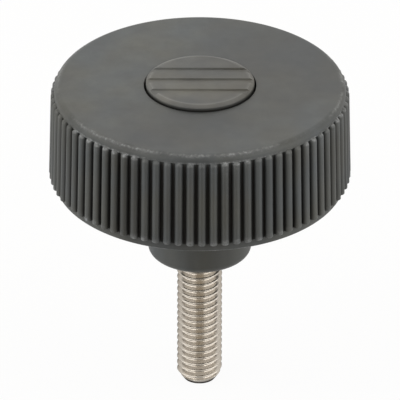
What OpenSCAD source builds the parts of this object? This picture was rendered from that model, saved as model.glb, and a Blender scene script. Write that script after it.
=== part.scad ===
// Knurled clamping knob: a ribbed plastic grip on a central hub, a stainless screw held in the
// hub by its hexagon head, and a snap-in cap that covers the head.
// Millimetres. The origin is the centre of the hub's seating face, with +Z towards the cap.

/* [Grip] */
// Diameter over the ribs at the foot of the grip
grip_d = 53; // [44:0.5:70]
// Height of the grip, from its lower edge to the flat top
grip_h = 19; // [15:0.5:30]
// Draft of the grip's wall, in degrees
draft = 1.3; // [0.5:0.1:2.5]
// Rounding of the rim's top edge
top_edge_r = 1.1; // [0.4:0.1:1.2]
// Rounding of the lower edge
low_edge_r = 0.3; // [0.2:0.1:0.8]

/* [Grip ribs] */
// Number of ribs round the grip
rib_count = 80; // [60:1:90]
// Width of one rib
rib_w = 1.45; // [0.9:0.05:1.5]
// How far a rib stands out of the wall
rib_proud = 1.05; // [0.8:0.05:1.3]
// Height of the plain band under the ribs
plain_band_h = 1.7; // [1:0.1:4]
// Height of the plain rim above the ribs
rim_h = 1.3; // [1.2:0.05:2.5]
// How far the rim stands out of the wall between the ribs
rim_step = 0.45; // [0.2:0.05:0.6]
// How far the rim reaches down between the ribs' heads
rim_lap = 0.3; // [0.2:0.05:0.6]
// Turn of the ribs about the axis, in degrees
rib_turn = 0.8; // [0:0.1:4.5]

/* [Hub] */
// Diameter of the hub's seat
hub_d = 18.2; // [16:0.1:24]
// Height of the hub below the grip
hub_h = 14.2; // [8:0.1:20]
// Rounding of the hub's lower edge
hub_edge_r = 1.3; // [0.5:0.1:2]

/* [Underside] */
// Wall of the grip at its lower edge
wall_t = 2.6; // [2:0.1:4]
// Thickness of the top plate
plate_t = 3.2; // [2:0.1:4]
// Number of webs between the hub and the grip's wall
web_count = 6; // [4:1:8]
// Thickness of one web
web_t = 1.6; // [1.2:0.1:2.5]
// How far the webs stay back from the grip's lower edge
web_set_back = 2.3; // [0:0.1:5]
// Wall left round the cap's well
well_wall_t = 2.2; // [1.6:0.1:4]
// Rounding inside the hollow, under the top plate
hollow_r = 1.5; // [0.5:0.1:3]

/* [Cover cap] */
// Diameter of the cap
cap_d = 18.8; // [16:0.1:22]
// How far the cap stands above the top
cap_proud = 1; // [0.4:0.1:1.5]
// Width of the cap's bevel, seen from above
bevel_w = 0.7; // [0.3:0.05:1]
// Height of the cap's bevel
bevel_h = 0.42; // [0.2:0.02:0.6]
// Thickness of the cap's face
face_t = 3; // [1.5:0.1:3.5]
// Thickness of the cap's skirt
skirt_t = 1.2; // [0.8:0.1:1.8]
// Depth of the cap's well below the top
well_depth = 5.2; // [4.5:0.1:6]
// Number of grooves across the cap's face
groove_count = 3; // [1:1:4]
// Distance from one groove to the next
groove_pitch = 3.8; // [3:0.05:4.5]
// Width of one groove
groove_w = 1.6; // [0.8:0.05:2]
// Depth of one groove
groove_depth = 0.4; // [0.2:0.05:0.8]
// Width of the slots that let the skirt spring
slot_w = 2; // [1:0.1:3]
// How far the snap bead reaches behind the well's wall
bead_bite = 0.25; // [0.1:0.05:0.4]
// Height of the bead's flat crest
bead_h = 0.6; // [0.4:0.1:0.8]
// Height of the slope above and below the crest
bead_slope_h = 0.5; // [0.3:0.1:0.6]
// Height of the bead's middle above the floor of the well
bead_lift = 1.4; // [1.2:0.1:1.5]

/* [Screw] */
// Nominal diameter of the screw, which its plain shank has
screw_d = 8; // [6:1:8]
// How much the outer diameter of the thread is under the nominal one
crest_allowance = 0.12; // [0.04:0.02:0.24]
// Length of the thread below the hub
stud_len = 25.8; // [10:0.1:50]
// Length of the relief between the thread and the shank
relief_len = 3; // [2.5:0.1:4.4]
// Depth of the relief under the thread's crests
relief_depth = 0.95; // [0.7:0.05:1.1]
// Width of the hexagon head across its flats
head_af = 13; // [12:0.5:13]
// Height of the hexagon head
head_h = 5.3; // [4:0.1:5.5]
// Free height between the head and the floor of the cap's well
head_room = 2.7; // [0.5:0.1:3]
// Width of the chamfer at the end of the thread
tip_chamfer_w = 1.2; // [0.4:0.1:1.4]
// Height of the chamfer at the end of the thread
tip_chamfer_h = 1.7; // [0.4:0.1:2]

/* [Clearances] */
// Gap between the cap and its well, on the radius
cap_gap = 0.4; // [0.3:0.05:0.6]
// Gap round the snap bead in its groove
bead_gap = 0.1; // [0.05:0.05:0.2]
// Gap round the shank in the hub, on the radius
shank_gap = 0.1; // [0.05:0.05:0.2]
// Gap at each flat of the head
head_gap = 0.1; // [0.05:0.05:0.2]

/* [Hidden] */
$fn = 96;
OVER = 1;
ARC_STEPS = 8;

top_z = hub_h + grip_h;
hub_r = hub_d / 2;
slope = tan(draft);

// Radius of the wall between the ribs, at height z
function wall_r(z) = grip_d / 2 - rib_proud - (z - rib_foot_z) * slope;
// Radius of the inside of that wall
function inner_r(z) = wall_r(hub_h) - wall_t - (z - hub_h) * slope;
// Points along an arc about centre, from angle a to angle b
function arc(centre, r, a, b) =
    [for (i = [0:ARC_STEPS]) centre + r * [cos(a + (b - a) * i / ARC_STEPS), sin(a + (b - a) * i / ARC_STEPS)]];

rib_foot_z = hub_h + plain_band_h;
rib_head_z = top_z - rim_h;
ledge_z = rib_head_z - rim_lap;
rim_r = wall_r(rib_head_z) + rim_step;
rib_len = rib_head_z - rib_foot_z - rib_w / 2;
rib_root = rib_proud - rib_w / 2 + wall_t / 4;

plate_z = top_z - plate_t;
well_r = cap_d / 2 + cap_gap;
well_z = top_z - well_depth;
boss_r = well_r + well_wall_t;
boss_foot_r = hub_r + (boss_r - hub_r) / 2;
boss_foot_z = hub_h + (boss_foot_r - hub_r);
web_foot_z = hub_h + web_set_back;

cap_r = cap_d / 2;
cap_top_z = top_z + cap_proud;
face_z = cap_top_z - face_t;
bead_mid_z = well_z + bead_lift;
bead_proud = cap_gap + bead_bite;

head_seat_z = well_z - head_room - head_h;
pocket_r = (head_af / 2 + head_gap) / cos(30);
thread_r = (screw_d - crest_allowance) / 2;
neck_r = thread_r - relief_depth;
shank_r = screw_d / 2;

// Half section of the grip and hub, filled in
module outer_section() {
    polygon(concat(
        [[0, 0]],
        arc([hub_r - hub_edge_r, hub_edge_r], hub_edge_r, -90, 0),
        [[hub_r, hub_h]],
        arc([wall_r(hub_h) - low_edge_r, hub_h + low_edge_r], low_edge_r, -90, 0),
        [[wall_r(ledge_z), ledge_z], [rim_r, ledge_z]],
        arc([rim_r - top_edge_r, top_z - top_edge_r], top_edge_r, 0, 90),
        [[0, top_z]]
    ));
}

// Half section of the hollow between the hub and the wall
module hollow_section() {
    polygon(concat(
        [[hub_r, hub_h - OVER], [hub_r, hub_h], [boss_foot_r, boss_foot_z]],
        arc([boss_r + hollow_r, plate_z - hollow_r], hollow_r, 180, 90),
        arc([inner_r(plate_z) - hollow_r, plate_z - hollow_r], hollow_r, 90, 0),
        [[inner_r(hub_h - OVER), hub_h - OVER]]
    ));
}

// One rib of the grip: round crest, straight flanks and a domed upper end
module grip_rib() {
    translate([rib_proud - rib_w / 2, 0, 0]) {
        cylinder(h = rib_len, d = rib_w, $fn = 24);
        translate([0, 0, rib_len])
            sphere(d = rib_w, $fn = 24);
    }
    translate([-wall_t / 4, -rib_w / 2, 0])
        cube([rib_root, rib_w, rib_len]);
    translate([-wall_t / 4, 0, rib_len])
        rotate([0, 90, 0])
            cylinder(h = rib_root, d = rib_w, $fn = 24);
}

// Ribs all round the grip, each leaning in with the wall's draft
module grip_ribs() {
    for (i = [0:rib_count - 1])
        rotate([0, 0, -90 + rib_turn + i * 360 / rib_count])
            translate([wall_r(rib_foot_z), 0, rib_foot_z])
                rotate([0, -draft, 0])
                    grip_rib();
}

// Webs that tie the hub to the grip's wall
module webs() {
    reach = wall_r(hub_h) - wall_t / 2;
    for (i = [0:web_count - 1])
        rotate([0, 0, (i + 0.5) * 360 / web_count])
            translate([0, -web_t / 2, web_foot_z])
                cube([reach, web_t, top_z]);
}

// Room for the cap, its snap bead, the screw's head and the thread
module well() {
    translate([0, 0, well_z])
        cylinder(h = well_depth + OVER, r = well_r);
    translate([0, 0, bead_mid_z])
        rotate_extrude()
            bead_section(cap_r - OVER, bead_proud + bead_gap, bead_gap);
    translate([0, 0, head_seat_z])
        cylinder(h = head_h + head_room + OVER, r = pocket_r, $fn = 6);
    translate([0, 0, -OVER])
        cylinder(h = head_seat_z + 2 * OVER, r = shank_r + shank_gap);
}

// Half section of a snap bead that leads in and out at a slope
module bead_section(from_r, proud, grow) {
    half_h = bead_h / 2 + grow;
    polygon([
        [from_r, -half_h - bead_slope_h],
        [cap_r, -half_h - bead_slope_h],
        [cap_r + proud, -half_h],
        [cap_r + proud, half_h],
        [cap_r, half_h + bead_slope_h],
        [from_r, half_h + bead_slope_h]
    ]);
}

module knob_body() {
    color([0.37, 0.37, 0.36])
        difference() {
            union() {
                rotate_extrude()
                    outer_section();
                grip_ribs();
            }
            difference() {
                rotate_extrude()
                    hollow_section();
                webs();
            }
            well();
        }
}

// Half section of the cap: bevelled face and skirt
module cap_section() {
    polygon([
        [0, cap_top_z],
        [cap_r - bevel_w, cap_top_z],
        [cap_r, cap_top_z - bevel_h],
        [cap_r, well_z],
        [cap_r - skirt_t, well_z],
        [cap_r - skirt_t, face_z],
        [0, face_z]
    ]);
}

// Parallel grooves right across the cap's face
module cap_grooves() {
    for (i = [0:groove_count - 1])
        translate([0, (i - (groove_count - 1) / 2) * groove_pitch, cap_top_z - groove_depth / 2 + OVER / 2])
            cube([cap_d + 2 * OVER, groove_w, groove_depth + OVER], center = true);
}

// Slots that part the skirt into four springy legs
module skirt_slots() {
    slot_h = face_z - well_z;
    for (turn = [45, 135])
        rotate([0, 0, turn])
            translate([0, 0, well_z + slot_h / 2 - OVER / 2])
                cube([cap_d + 4 * OVER, slot_w, slot_h + OVER], center = true);
}

module cover_cap() {
    color([0.42, 0.41, 0.40])
        difference() {
            union() {
                rotate_extrude()
                    cap_section();
                translate([0, 0, bead_mid_z])
                    rotate_extrude()
                        bead_section(cap_r - skirt_t / 2, bead_proud, 0);
            }
            cap_grooves();
            skirt_slots();
        }
}

// Hexagon head with the usual 30 degree chamfer on its outer face
module screw_head() {
    corner_r = head_af / 2 / cos(30);
    flat_r = head_af / 2 * 0.95;
    chamfer_h = (corner_r - flat_r) * tan(30);
    intersection() {
        cylinder(h = head_h, r = corner_r, $fn = 6);
        union() {
            cylinder(h = head_h - chamfer_h, r = corner_r + OVER);
            translate([0, 0, head_h - chamfer_h])
                cylinder(h = chamfer_h, r1 = corner_r, r2 = flat_r);
        }
    }
}

// Half section of the screw from its chamfered end, along thread, relief and shank, to the head
module shaft_section() {
    polygon([
        [0, -stud_len],
        [thread_r - tip_chamfer_w, -stud_len],
        [thread_r, -stud_len + tip_chamfer_h],
        [thread_r, 0],
        [neck_r, thread_r - neck_r],
        [neck_r, relief_len - (shank_r - neck_r)],
        [shank_r, relief_len],
        [shank_r, head_seat_z],
        [0, head_seat_z]
    ]);
}

module threaded_stud() {
    color([0.74, 0.72, 0.69]) {
        rotate_extrude()
            shaft_section();
        translate([0, 0, head_seat_z])
            screw_head();
    }
}

knob_body();
cover_cap();
threaded_stud();
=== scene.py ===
"""Looks of a ribbed clamping knob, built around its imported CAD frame.

Lengths are in metres. The origin is the centre of the hub's seating face, with +Z towards the cap.
"""

import logging
import math
from collections.abc import Iterable
from dataclasses import dataclass, field
from enum import Enum
from typing import ClassVar, Union

import bmesh
import bpy
from mathutils import Matrix, Vector


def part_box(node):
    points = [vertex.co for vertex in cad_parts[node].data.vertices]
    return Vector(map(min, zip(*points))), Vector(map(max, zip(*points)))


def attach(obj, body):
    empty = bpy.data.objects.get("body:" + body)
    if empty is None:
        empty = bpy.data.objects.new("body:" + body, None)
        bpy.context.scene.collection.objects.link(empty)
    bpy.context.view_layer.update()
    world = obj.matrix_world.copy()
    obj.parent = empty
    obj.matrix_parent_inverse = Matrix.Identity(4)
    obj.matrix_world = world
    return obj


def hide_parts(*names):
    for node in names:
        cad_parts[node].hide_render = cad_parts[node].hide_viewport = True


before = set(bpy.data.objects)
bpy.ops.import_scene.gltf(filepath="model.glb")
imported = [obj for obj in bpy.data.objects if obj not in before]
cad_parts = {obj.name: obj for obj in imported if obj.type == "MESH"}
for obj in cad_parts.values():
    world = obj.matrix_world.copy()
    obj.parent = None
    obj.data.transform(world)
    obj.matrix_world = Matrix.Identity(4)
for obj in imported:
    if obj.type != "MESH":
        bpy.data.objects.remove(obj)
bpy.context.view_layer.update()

MM = 0.001
WELD = 0.0006 * MM
WHITE = (1, 1, 1, 1)
# Factors on the coordinates of a noise that draw its spots out along Z, or press them flat
UPRIGHT = (1, 1, 0.2)
LEVEL = (1, 1, 9)
LOG = logging.getLogger("clamping_knob")

Colour = tuple[float, float, float]
Point = tuple[float, float, float]
Pair = tuple[float, float]
Socket = bpy.types.NodeSocket
Vert = bmesh.types.BMVert
Setting = Union[float, int, bool, str, tuple, Socket, bpy.types.ID]
Inputs = dict[Union[str, int], Setting]


class Slot(Enum):
    """Names of material slots for the grip, the cap and the steel; nothing here uses them."""

    GRIP = "grip_plastic"
    CAP = "cap_plastic"
    STEEL = "stainless_steel"


class Mark(Enum):
    """Attributes that a mesh carries for its finish: painted shade, and edge marks with painted
    light.
    """

    # Painted shade, deepest in grooves, gaps and hollows
    PAINTED_SHADE = "recess"
    # Scuffed plastic edges with painted highlights, and the steel tip's painted dark reflection
    EDGE = "edge"


def arc(centre: Pair, radius: float, start: float, end: float, steps: int) -> list[Pair]:
    """Points along an arc in the section plane.

    Args:
        centre: Radius and height of the arc's centre.
        radius: Radius of the arc.
        start: First angle in degrees, from the outward direction.
        end: Last angle in degrees.
        steps: Number of chords.

    Returns:
        The points as pairs of radius and height.
    """
    points = []
    for i in range(steps + 1):
        turn = math.radians(start + (end - start) * i / steps)
        points.append((centre[0] + radius * math.cos(turn), centre[1] + radius * math.sin(turn)))
    return points


# ---------------------------------------------------------------------------------------------
# Node trees


class Graph:
    """Adds nodes to a tree and links them."""

    def __init__(self, tree: bpy.types.NodeTree) -> None:
        """Empties the tree that it is going to fill."""
        self.tree = tree
        self.tree.nodes.clear()

    def add(self, kind: str, settings: Inputs | None = None, **properties: str) -> bpy.types.Node:
        """Adds one node.

        Args:
            kind: The node's type.
            settings: Values or sockets for its inputs, by name or place.
            **properties: Properties of the node itself.

        Returns:
            The new node.
        """
        node = self.tree.nodes.new(kind)
        for name, value in properties.items():
            setattr(node, name, value)
        for key, value in (settings or {}).items():
            if isinstance(value, Socket):
                self.tree.links.new(value, node.inputs[key])
            else:
                node.inputs[key].default_value = value
        return node

    def math(self, operation: str, *values: Setting) -> Socket:
        """Adds a Math node and returns its result."""
        return self.add("ShaderNodeMath", dict(enumerate(values)), operation=operation).outputs[0]

    def spread(
        self, value: Setting, low: float, high: float, to_low: float, to_high: float
    ) -> Socket:
        """Maps a value from one range to another, and clamps it."""
        ranges = {0: value, 1: low, 2: high, 3: to_low, 4: to_high}
        return self.add("ShaderNodeMapRange", ranges).outputs[0]

    def position(self, x: Setting, y: Setting, z: Setting) -> Socket:
        """Makes a vector from three values."""
        return self.add("ShaderNodeCombineXYZ", {0: x, 1: y, 2: z}).outputs[0]

    def split(self, vector: Socket) -> bpy.types.NodeOutputs:
        """Splits a vector into its three values."""
        return self.add("ShaderNodeSeparateXYZ", {0: vector}).outputs

    def seen(self) -> Socket:
        """Tells what the camera sees, straight, mirrored or through glass, from what only lights.

        Returns:
            1 for what is seen, and 0 for the rest.
        """
        rays = self.add("ShaderNodeLightPath").outputs
        indirect = self.math("MAXIMUM", rays["Is Glossy Ray"], rays["Is Transmission Ray"])
        return self.math("MAXIMUM", rays["Is Camera Ray"], indirect)


class FinishGraph(Graph):
    """The node tree of one material."""

    def __init__(self, name: str) -> None:
        """Makes the material.

        Args:
            name: Name of the material.
        """
        self.material = bpy.data.materials.new(name)
        self.material.use_nodes = True
        super().__init__(self.material.node_tree)
        self.place = self.add("ShaderNodeTexCoord").outputs["Object"]

    def mark(self, mark: Mark) -> Socket:
        """Reads one of the mesh's attributes."""
        return self.add("ShaderNodeAttribute", attribute_name=mark.value).outputs["Fac"]

    def noise(
        self,
        size: float,
        detail: float = 2.0,
        rough: float = 0.5,
        stretch: Point = (1, 1, 1),
        lift: float = 0.0,
        seed: float = 0.0,
    ) -> Socket:
        """Adds a noise on Object coordinates.

        Args:
            size: Size of its spots in metres.
            detail: Number of finer layers.
            rough: Strength of each finer layer.
            stretch: Factors on the three coordinates.
            lift: Length added to the third coordinate after them.
            seed: Place in the noise's fourth dimension.

        Returns:
            The noise, from 0 to 1 with a mean of about 0.5.
        """
        place = self.place
        if stretch != (1, 1, 1):
            moves = {"Vector": place, "Location": (0.0, 0.0, lift), "Scale": stretch}
            place = self.add("ShaderNodeMapping", moves).outputs[0]
        inputs = {"Vector": place, "Scale": 1 / size, "Detail": detail, "Roughness": rough}
        if not seed:
            return self.add("ShaderNodeTexNoise", inputs).outputs["Fac"]
        inputs["W"] = seed
        return self.add("ShaderNodeTexNoise", inputs, noise_dimensions="4D").outputs["Fac"]

    def vary(self, noise: Socket, reach: float, middle: float = 1.0, window: float = 0.2) -> Socket:
        """Maps a noise, within a window round 0.5, to a middle value give or take a reach."""
        return self.spread(noise, 0.5 - window, 0.5 + window, middle - reach, middle + reach)

    def tint(self, share: Setting, first: Setting, second: Setting) -> Socket:
        """Mixes two colours.

        Args:
            share: Share of the second colour.
            first: The first colour.
            second: The second colour.

        Returns:
            The mixed colour.
        """
        first = (*first, 1) if isinstance(first, tuple) else first
        second = (*second, 1) if isinstance(second, tuple) else second
        inputs = {0: share, 6: first, 7: second}
        return self.add("ShaderNodeMix", inputs, data_type="RGBA").outputs[2]

    def shade(self, colour: Socket, share: Socket) -> Socket:
        """Multiplies a colour by a grey value."""
        inputs = {0: 1.0, 6: colour, 7: self.position(share, share, share)}
        return self.add("ShaderNodeMix", inputs, data_type="RGBA", blend_type="MULTIPLY").outputs[2]

    def bump(
        self, height: Socket, distance: float, strength: float, below: Socket | None = None
    ) -> Socket:
        """Adds a relief to the surface.

        Args:
            height: Height of the relief, from 0 to 1.
            distance: Its depth in metres.
            strength: Its strength, from 0 to 1.
            below: A relief that this one lies on.

        Returns:
            The normal.
        """
        inputs = {"Height": height, "Distance": distance, "Strength": strength}
        if below is not None:
            inputs["Normal"] = below
        return self.add("ShaderNodeBump", inputs).outputs[0]

    def finish(self, inputs: Inputs) -> bpy.types.Material:
        """Ends the tree in a Principled BSDF.

        Args:
            inputs: Values or sockets for the shader.

        Returns:
            The material.
        """
        shader = self.add("ShaderNodeBsdfPrincipled", inputs)
        self.add("ShaderNodeOutputMaterial", {"Surface": shader.outputs[0]})
        return self.material


class MeshGraph(Graph):
    """A Geometry Nodes tree with named inputs, which ends in Realize Instances and Set Material."""

    KINDS: ClassVar[dict[type, str]] = {
        float: "NodeSocketFloat",
        int: "NodeSocketInt",
        bpy.types.Material: "NodeSocketMaterial",
        bpy.types.Object: "NodeSocketObject",
    }

    def __init__(self, name: str, inputs: dict[str, Setting]) -> None:
        """Makes the tree.

        Args:
            name: Name of the tree.
            inputs: Names of its inputs and the values that they get.
        """
        super().__init__(bpy.data.node_groups.new(name, "GeometryNodeTree"))
        self.values = inputs
        self.keys = {}
        new_socket = self.tree.interface.new_socket
        new_socket("Geometry", in_out="INPUT", socket_type="NodeSocketGeometry")
        for label, value in inputs.items():
            kind = self.KINDS[type(value)]
            self.keys[label] = new_socket(label, in_out="INPUT", socket_type=kind).identifier
        new_socket("Geometry", in_out="OUTPUT", socket_type="NodeSocketGeometry")
        self.inputs = self.add("NodeGroupInput").outputs

    def copies(self, points: Socket, piece: Socket, turn: Socket | None = None) -> Socket:
        """Puts a copy of a piece on each point.

        Args:
            points: The points.
            piece: The geometry that is copied.
            turn: Angle of each copy about the Z axis, in radians.

        Returns:
            The copies.
        """
        inputs = {"Points": points, "Instance": piece}
        if turn is not None:
            about_z = self.position(0.0, 0.0, turn)
            inputs["Rotation"] = self.add("FunctionNodeEulerToRotation", {0: about_z}).outputs[0]
        return self.add("GeometryNodeInstanceOnPoints", inputs).outputs[0]

    def fan(self, piece: Socket, count: Setting, first: Setting, step: Setting) -> Socket:
        """Repeats a piece around the Z axis.

        Args:
            piece: The geometry that is copied.
            count: Number of copies.
            first: Angle of the first copy, in radians.
            step: Angle from one copy to the next, in radians.

        Returns:
            The copies.
        """
        index = self.add("GeometryNodeInputIndex").outputs[0]
        turn = self.math("MULTIPLY_ADD", index, step, first)
        points = self.add("GeometryNodePoints", {"Count": count}).outputs[0]
        return self.copies(points, piece, turn)

    def finish(self, geometry: Socket) -> None:
        """Realizes, welds and gives the material, and ends the tree.

        Args:
            geometry: The geometry that the tree has made.
        """
        solid = self.add("GeometryNodeRealizeInstances", {"Geometry": geometry}).outputs[0]
        weld = {"Geometry": solid, "Distance": WELD}
        welded = self.add("GeometryNodeMergeByDistance", weld).outputs[0]
        coat = {"Geometry": welded, "Material": self.inputs["Finish"]}
        dressed = self.add("GeometryNodeSetMaterial", coat).outputs[0]
        self.add("NodeGroupOutput", {0: dressed})

    def apply(self, piece: bpy.types.Object) -> None:
        """Runs the tree on a piece and keeps the result as its mesh.

        Args:
            piece: The piece, whose own mesh is the tree's geometry.
        """
        modifier = piece.modifiers.new(self.tree.name, "NODES")
        modifier.node_group = self.tree
        for label, value in self.values.items():
            modifier[self.keys[label]] = value
        depsgraph = bpy.context.evaluated_depsgraph_get()
        mesh = bpy.data.meshes.new_from_object(
            piece.evaluated_get(depsgraph), preserve_all_data_layers=True, depsgraph=depsgraph
        )
        piece.modifiers.remove(modifier)
        piece.data = mesh


# ---------------------------------------------------------------------------------------------
# Finishes


@dataclass(frozen=True)
class MouldedPlastic:
    """Matt glass-filled plastic: fine spark grain, cloudy patches, scuffed edges, painted light and
    shade.
    """

    name: str
    colour: Colour
    pale_and_highlight: Colour
    roughness: float = 0.5
    gloss: float = 0.42
    # The cloudy patches, a tone whose place in the noise also paints the top face's uneven light:
    # their size, strength and place in the noise
    cloud_size: float = 34 * MM
    cloud: float = 0.38
    cloud_lift: float = 26.56 * MM
    seed: float = 3.7
    # How far they change the roughness
    sheen: float = 0.06
    # The upright streaks, and the slow drift in hue
    flow_size: float = 2.6 * MM
    flow: float = 0.09
    hue_size: float = 14 * MM
    hue_shift: float = 0.06
    # Share of the colour left where the painted shade is deepest
    painted_shade_share: float = 0.03
    # Wear of the edges, which also paints highlights: its least share, its strength, and the size of
    # its stretches and scuffs
    least_wear_and_highlight: float = 0.15
    wear_and_highlight: float = 0.75
    stretch_size: float = 9 * MM
    scuff_size: float = 0.6 * MM
    # The spark grain, and the slow waves under it
    grain_size: float = 0.16 * MM
    grain_depth: float = 0.012 * MM
    grain_contrast: float = 0.05
    wave_size: float = 2.4 * MM
    wave_depth: float = 0.02 * MM

    def base(self, g: FinishGraph) -> Socket:
        """Colour of the untouched surface, which drifts a little between olive and blue-grey.

        Args:
            g: The material's node tree.

        Returns:
            The colour.
        """
        drift = (self.hue_shift, 0.3 * self.hue_shift, -self.hue_shift)
        warm = tuple(c * (1 + d) for c, d in zip(self.colour, drift))
        cool = tuple(c * (1 - d) for c, d in zip(self.colour, drift))
        hue = g.noise(self.hue_size, rough=0.6)
        return g.tint(g.vary(hue, 0.5, middle=0.5, window=0.14), cool, warm)

    def rubbed_and_highlit(self, g: FinishGraph) -> Socket:
        """Wear of the edges, which also paints highlights, in scuffs that come and go along them.

        Args:
            g: The material's node tree.

        Returns:
            Share of the light grey of scuffs and painted highlights.
        """
        stretches = g.spread(g.noise(self.stretch_size), 0.46, 0.6, self.least_wear_and_highlight, 1.0)
        fine = g.noise(self.scuff_size, detail=4, rough=0.7)
        scuffs = g.spread(fine, 0.46, 0.64, 2 * self.least_wear_and_highlight, 1.0)
        rubbed_and_highlit = g.math("MULTIPLY", g.mark(Mark.EDGE), g.math("MULTIPLY", stretches, scuffs))
        return g.math("MULTIPLY", rubbed_and_highlit, self.wear_and_highlight)

    def material(self) -> bpy.types.Material:
        """Builds the material.

        Returns:
            The material.
        """
        g = FinishGraph(self.name)
        clouds_and_light = g.noise(self.cloud_size, 4, 0.6, UPRIGHT, self.cloud_lift, self.seed)
        flow = g.noise(self.flow_size, detail=3, stretch=UPRIGHT)
        grain = g.noise(self.grain_size)
        value = g.math("MULTIPLY", g.vary(clouds_and_light, self.cloud, window=0.09), g.vary(flow, self.flow))
        value = g.math("MULTIPLY", value, g.vary(grain, self.grain_contrast))
        # Painted shade darkens the colour in grooves, gaps and under the ribs' feet, and roughens it
        # there
        recess = g.mark(Mark.PAINTED_SHADE)
        value = g.math("MULTIPLY", value, g.spread(recess, 0.08, 0.8, 1.0, self.painted_shade_share))
        roughness = g.vary(clouds_and_light, self.sheen, middle=self.roughness, window=0.1)
        waves = g.bump(g.noise(self.wave_size, detail=1), self.wave_depth, 0.5)
        return g.finish(
            {
                "Base Color": g.tint(self.rubbed_and_highlit(g), g.shade(self.base(g), value), self.pale_and_highlight),
                "Roughness": g.math("ADD", roughness, g.spread(recess, 0.3, 0.9, 0.0, 0.4)),
                "Specular IOR Level": self.gloss,
                "Normal": g.bump(grain, self.grain_depth, 0.6, waves),
            }
        )


@dataclass(frozen=True)
class RolledSteel:
    """Stainless steel with a rolled thread: satin, warm grey, with fine lines round the axis."""

    name: str
    colour: Colour
    dull: Colour
    # Colour of the dark ring at the tip, a painted dark reflection
    cut: Colour
    roughness: float = 0.23
    grazing_tint: Colour = (0.08, 0.08, 0.08)
    stain_size: float = 2.2 * MM
    # The fine lines: their size, their depth, and how far they change colour and roughness
    line_size: float = 0.5 * MM
    line_depth: float = 0.008 * MM
    line_contrast: float = 0.06

    def material(self) -> bpy.types.Material:
        """Builds the material.

        Returns:
            The material.
        """
        g = FinishGraph(self.name)
        stains = g.noise(self.stain_size, detail=3, rough=0.6)
        lines = g.noise(self.line_size, detail=3, stretch=LEVEL)
        colour = g.tint(g.spread(stains, 0.35, 0.7, 0.0, 0.5), self.colour, self.dull)
        colour = g.shade(colour, g.vary(lines, self.line_contrast))
        # The tip's painted dark reflection, patchy with the stains
        painted_dark_tip = g.math("MULTIPLY", g.mark(Mark.EDGE), g.spread(stains, 0.3, 0.6, 0.8, 1.0))
        return g.finish(
            {
                "Base Color": g.tint(painted_dark_tip, colour, self.cut),
                "Metallic": 1.0,
                "Roughness": g.vary(lines, self.line_contrast, middle=self.roughness),
                "Specular Tint": (*self.grazing_tint, 1),
                "Normal": g.bump(lines, self.line_depth, 0.5),
            }
        )


GRIP_PLASTIC = MouldedPlastic(
    "moulded_grip_plastic", colour=(0.0665, 0.0712, 0.0685), pale_and_highlight=(0.28, 0.292, 0.297)
)
# The cap's higher least share of scuffing paints a steady highlight line round its bevel
CAP_PLASTIC = MouldedPlastic(
    "moulded_cap_plastic", colour=(0.0855, 0.0865, 0.0785), pale_and_highlight=(0.3, 0.3, 0.29), least_wear_and_highlight=0.5
)
STAINLESS = RolledSteel(
    "rolled_stainless_steel",
    colour=(0.635, 0.597, 0.543),
    dull=(0.52, 0.482, 0.433),
    cut=(0.09, 0.085, 0.08),
)


# ---------------------------------------------------------------------------------------------
# Mesh helpers


@dataclass
class Ring:
    """One ring of a turned surface, round or hexagonal."""

    radius: float
    z: float
    edge: float = 0.0
    recess: float = 0.0
    flats: float = math.inf

    def reach(self, turn: float) -> float:
        """Radius of the ring in one direction, held back by the hexagon's flats if it has them."""
        sixth = math.pi / 3
        return min(self.radius, self.flats / math.cos((turn % sixth) - sixth / 2))


def snap_rings(z: float, foot: Pair, crest: Pair) -> list[Ring]:
    """Rings of a snap bead, or of the groove that it seats in.

    Args:
        z: Height of its middle.
        foot: Radius of the wall that carries it, and half its height there.
        crest: Radius of its crest, and half its height there.

    Returns:
        The rings, downwards.
    """
    upper = [foot, crest]
    steps = upper + [(radius, -rise) for radius, rise in reversed(upper)]
    # The bead and its groove lie in full painted shade
    return [Ring(radius, z + rise, recess=1.0) for radius, rise in steps]


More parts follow.
